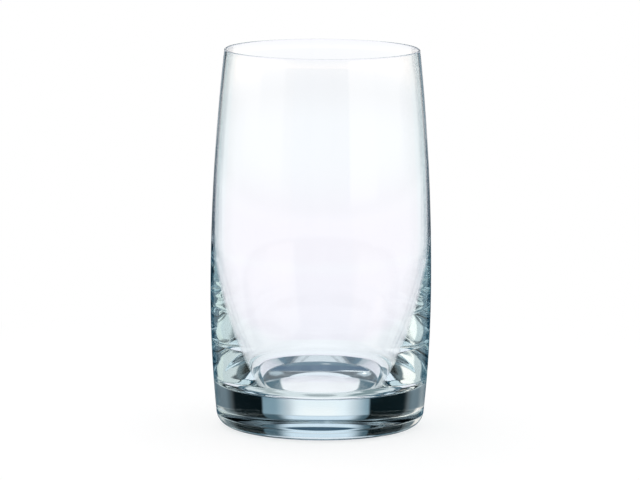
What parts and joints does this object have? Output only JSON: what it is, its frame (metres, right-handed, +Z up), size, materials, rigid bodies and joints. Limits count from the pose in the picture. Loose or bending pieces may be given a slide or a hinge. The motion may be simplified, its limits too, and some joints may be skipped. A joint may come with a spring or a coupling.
{
  "type": "drinking glass",
  "caption": "Tall barrel-sided clear glass tumbler with a thin rounded lip, a tapering bowl, a heavy solid base with a rounded heel and a hollow punt under it.",
  "frame": {"origin": "on the table, at the middle of the foot", "axes": "+Z up along the glass's own axis, from the foot to the lip; X and Y are alike, because the glass is round"},
  "size_m": [0.07, 0.07, 0.12],
  "materials": {
    "clear_glass": "clear, fire-polished, with a faint blue-grey cast in the thick base"
  },
  "bodies": {
    "root": {"glass_body": "clear_glass"}
  },
  "joints": []
}
